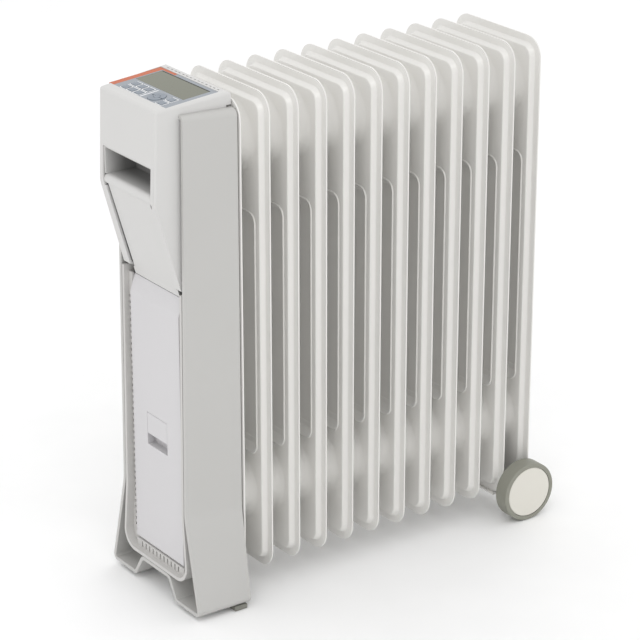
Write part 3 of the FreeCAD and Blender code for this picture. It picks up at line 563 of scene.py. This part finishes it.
class RADIATOR_OT_controls(bpy.types.Operator):
    """Display, keypad plate, keys with printed outlines and the coloured strip"""

    bl_idname = "radiator.controls"
    bl_label = "Control panel"

    def execute(self, context):
        edge = context.scene.radiator_looks.edge
        softened("panel_bezel", "keypad_plate", "bezel", "heater", edge * 0.25, segments=2)
        softened("accent_strip", "accent_inlay", "accent", "heater", edge * 0.2, segments=2)
        softened("lcd_lens", "display_window", "lens", "heater", edge * 0.2, segments=2)
        for name in KEY_NAMES:
            softened(name, name + "_top", "keys", name + "_cap", edge * 0.4)
        outlines = [key_outline(name, KEY_MARGIN) for name in KEY_NAMES if name not in ROCKER]
        outlines.append(key_outline("key_centre", CENTRE_MARGIN))
        printed("keypad_print", "print", outlines, [DIVIDER], PRINT_LINE)
        # a black bar along the display window's rear edge: painted shadow of the sunk window
        printed("display_edge_painted_shadow", "dark", [], [SHADED_EDGE], 0.0)
        paint_nodes(["lcd_module"], "dark")
        paint_nodes(["key_mat"], "rubber")
        return {"FINISHED"}


class RADIATOR_OT_electrics(bpy.types.Operator):
    """Heating rod, boards and switches inside the heater"""

    bl_idname = "radiator.electrics"
    bl_label = "Heating and electrics"

    def execute(self, context):
        paint_nodes(["control_board", "power_board"], "board")
        paint_nodes(["tilt_switch"], "dark")
        paint_nodes(["heating_element", "element_flange", "thermal_cutout"], "steel")
        paint_nodes(["element_seal"], "rubber")
        return {"FINISHED"}


class RADIATOR_OT_wheels(bpy.types.Operator):
    """Rear wheels with tread, rim and hub cap, their axle and bracket"""

    bl_idname = "radiator.wheels"
    bl_label = "Wheels"

    def execute(self, context):
        edge = context.scene.radiator_looks.edge
        for side in ("left", "right"):
            body = "wheel_" + side
            softened(body + "_tyre", body + "_tread", "tyre", body, edge * 0.5)
            softened(body + "_rim", body + "_disc", "rim", body, edge * 0.6)
            softened(body + "_cap", body + "_hub_cap", "cap", body, edge * 0.6)
        softened("wheel_bracket", "axle_bracket", "bracket", "heater", edge * 0.4, segments=2)
        paint_nodes(["wheel_axle", "axle_clips", "axle_spacers"], "steel")
        return {"FINISHED"}


# camera: place in metres, turn about Z and drop below the horizon in radians, focal length in mm
CAMERA_PLACE = (-1.6753, -2.3624, 1.4522)
CAMERA_YAW = 0.9571
CAMERA_PITCH = 0.3825
CAMERA_LENS = 148.66
SENSOR_WIDTH = 36.0
CLIP_END = 50.0
# studio lights: name, place, size in metres, power in watts
LAMPS = (("key light", (-1.2, -1.6, 2.6), 1.8, 16.0),
         ("front light", (-3.0, 0.3, 1.2), 1.6, 4.0),
         ("rear light", (1.8, 1.6, 2.2), 1.6, 6.0))
LAMP_AIM = Vector((0, 0, 0.3))
FLOOR_HALF = 9.0
FLOOR_DROP = 0.2 * MM


class RADIATOR_OT_stage(bpy.types.Operator):
    """Pale floor, soft studio lights and the camera"""

    bl_idname = "radiator.stage"
    bl_label = "Studio"

    def execute(self, context):
        scene = context.scene
        bm = bmesh.new()
        made = bmesh.ops.create_grid(bm, x_segments=2, y_segments=2, size=FLOOR_HALF)
        bmesh.ops.translate(bm, vec=(0, 0, CAD_BOX[0].z - FLOOR_DROP), verts=made["verts"])
        mesh = bpy.data.meshes.new("floor")
        bm.to_mesh(mesh)
        bm.free()
        mesh.materials.append(moulded("studio floor", (0.93, 0.93, 0.93), 0.9, grain=60.0))
        floor = bpy.data.objects.new("floor", mesh)
        scene.collection.objects.link(floor)

        world = bpy.data.worlds.new("Studio")
        scene.world = world
        world.use_nodes = True
        background = world.node_tree.nodes["Background"]
        background.inputs["Color"].default_value = (1.0, 1.0, 1.0, 1.0)
        background.inputs["Strength"].default_value = 1.0
        for name, place, size, power in LAMPS:
            self.lamp(scene, name, place, size, power)

        camera = bpy.data.cameras.new("camera")
        camera.lens = CAMERA_LENS
        camera.sensor_width = SENSOR_WIDTH
        camera.clip_end = CLIP_END
        holder = bpy.data.objects.new("camera", camera)
        level = math.cos(CAMERA_PITCH)
        look = Vector((math.cos(CAMERA_YAW) * level, math.sin(CAMERA_YAW) * level, -math.sin(CAMERA_PITCH)))
        holder.location = CAMERA_PLACE
        holder.rotation_euler = look.to_track_quat("-Z", "Y").to_euler()
        scene.collection.objects.link(holder)
        scene.camera = holder
        scene.view_settings.view_transform = "Standard"
        return {"FINISHED"}

    def lamp(self, scene, name, place, size, power):
        light = bpy.data.lights.new(name, "AREA")
        light.shape = "SQUARE"
        light.size = size
        light.energy = power
        holder = bpy.data.objects.new(name, light)
        holder.location = place
        aim = LAMP_AIM - Vector(place)
        holder.rotation_euler = aim.to_track_quat("-Z", "Y").to_euler()
        scene.collection.objects.link(holder)


class RADIATOR_PT_panel(bpy.types.Panel):
    """Lists the heater's operators and sizes"""

    bl_idname = "RADIATOR_PT_panel"
    bl_label = "Oil filled radiator"
    bl_space_type = "VIEW_3D"
    bl_region_type = "UI"
    bl_category = "Radiator"

    def draw(self, context):
        for operator in OPERATORS:
            self.layout.operator(operator.bl_idname)
        for group in (context.scene.radiator_fins, context.scene.radiator_looks):
            for name in group.bl_rna.properties.keys():
                if name not in ("name", "rna_type"):
                    self.layout.prop(group, name)


OPERATORS = (RADIATOR_OT_fins, RADIATOR_OT_housing, RADIATOR_OT_door, RADIATOR_OT_controls,
             RADIATOR_OT_electrics, RADIATOR_OT_wheels, RADIATOR_OT_stage)
CLASSES = (RadiatorFinSizes, RadiatorLooks) + OPERATORS + (RADIATOR_PT_panel,)


def register():
    for item in CLASSES:
        bpy.utils.register_class(item)
    bpy.types.Scene.radiator_fins = bpy.props.PointerProperty(type=RadiatorFinSizes)
    bpy.types.Scene.radiator_looks = bpy.props.PointerProperty(type=RadiatorLooks)


def unregister():
    del bpy.types.Scene.radiator_looks
    del bpy.types.Scene.radiator_fins
    for item in reversed(CLASSES):
        bpy.utils.unregister_class(item)


def main():
    register()
    build_materials(bpy.context.scene.radiator_looks)
    bpy.ops.radiator.fins()
    bpy.ops.radiator.housing()
    bpy.ops.radiator.door()
    bpy.ops.radiator.controls()
    bpy.ops.radiator.electrics()
    bpy.ops.radiator.wheels()
    bpy.ops.radiator.stage()


if __name__ == "__main__":
    main()
